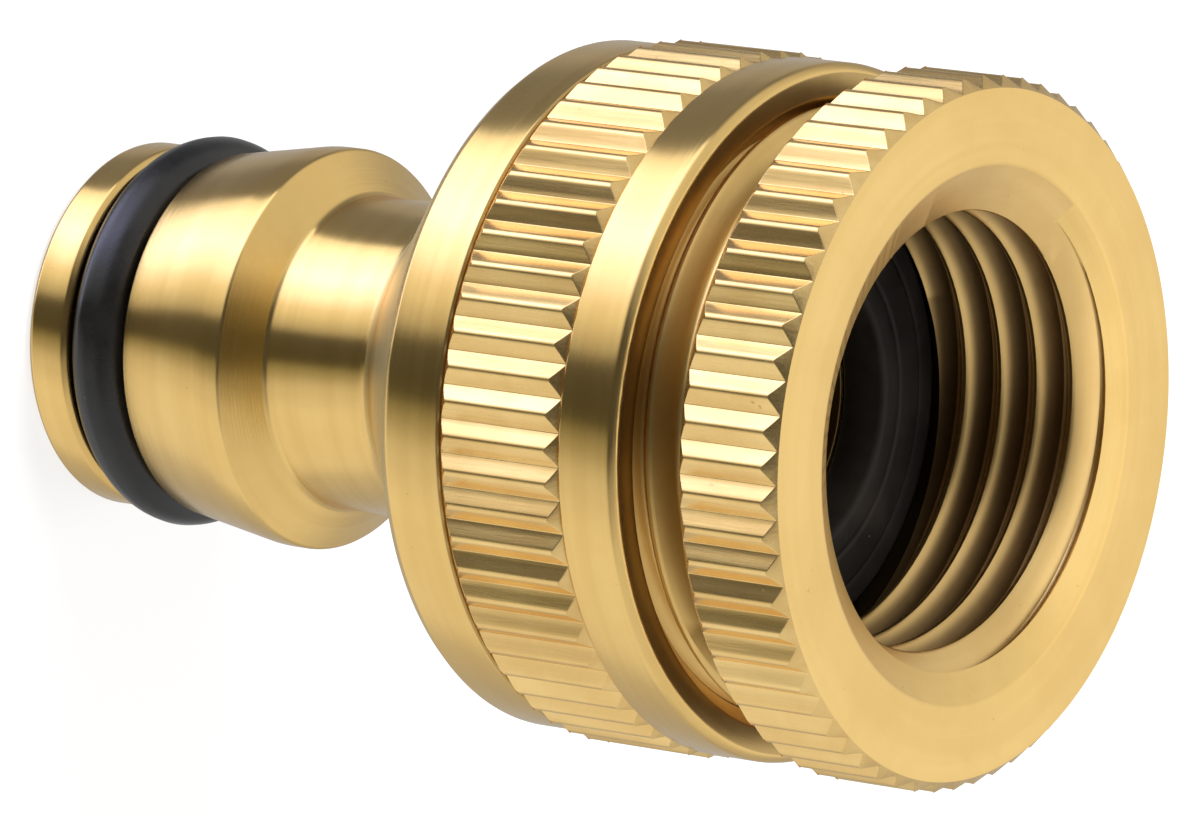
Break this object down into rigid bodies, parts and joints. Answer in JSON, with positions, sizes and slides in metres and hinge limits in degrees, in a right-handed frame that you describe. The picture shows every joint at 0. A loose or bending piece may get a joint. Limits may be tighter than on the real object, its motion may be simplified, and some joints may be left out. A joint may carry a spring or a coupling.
{
  "type": "garden hose quick connector",
  "caption": "Turned tap connector with an O-ring nose for a hose end, a knurled body and a screw-in knurled reducer with an open threaded bore.",
  "frame": {"origin": "centre of the nose tip's flat end, on which the connector stands", "axes": "+Z along the water passage, from the nose tip to the open threaded face"},
  "size_m": [0.0302, 0.0302, 0.0447],
  "materials": {
    "turned_brass": "satin turned brass with fine circumferential tool marks",
    "seal_rubber": "matt black moulded rubber"
  },
  "bodies": {
    "connector": {"tap_connector_body": "turned_brass", "nose_o_ring": "seal_rubber", "body_washer": "seal_rubber"},
    "reducer_lift": {"reducer_washer": "seal_rubber"},
    "reducer_turn": {"reducer": "turned_brass"}
  },
  "joints": [
    {"name": "reducer_rise", "type": "slide", "parent": "connector", "child": "reducer_lift", "axis": [0, 0, 1], "range_m": [0, 0.00726]},
    {"name": "reducer_unscrew", "type": "hinge", "parent": "reducer_lift", "child": "reducer_turn", "pos_m": [0, 0, 0.0395], "axis": [0, 0, 1], "range_deg": [0, 1440]}
  ],
  "couplings": [
    {"joint": "reducer_rise", "follows": "reducer_unscrew", "m_per_rad": 0.00028875}
  ]
}
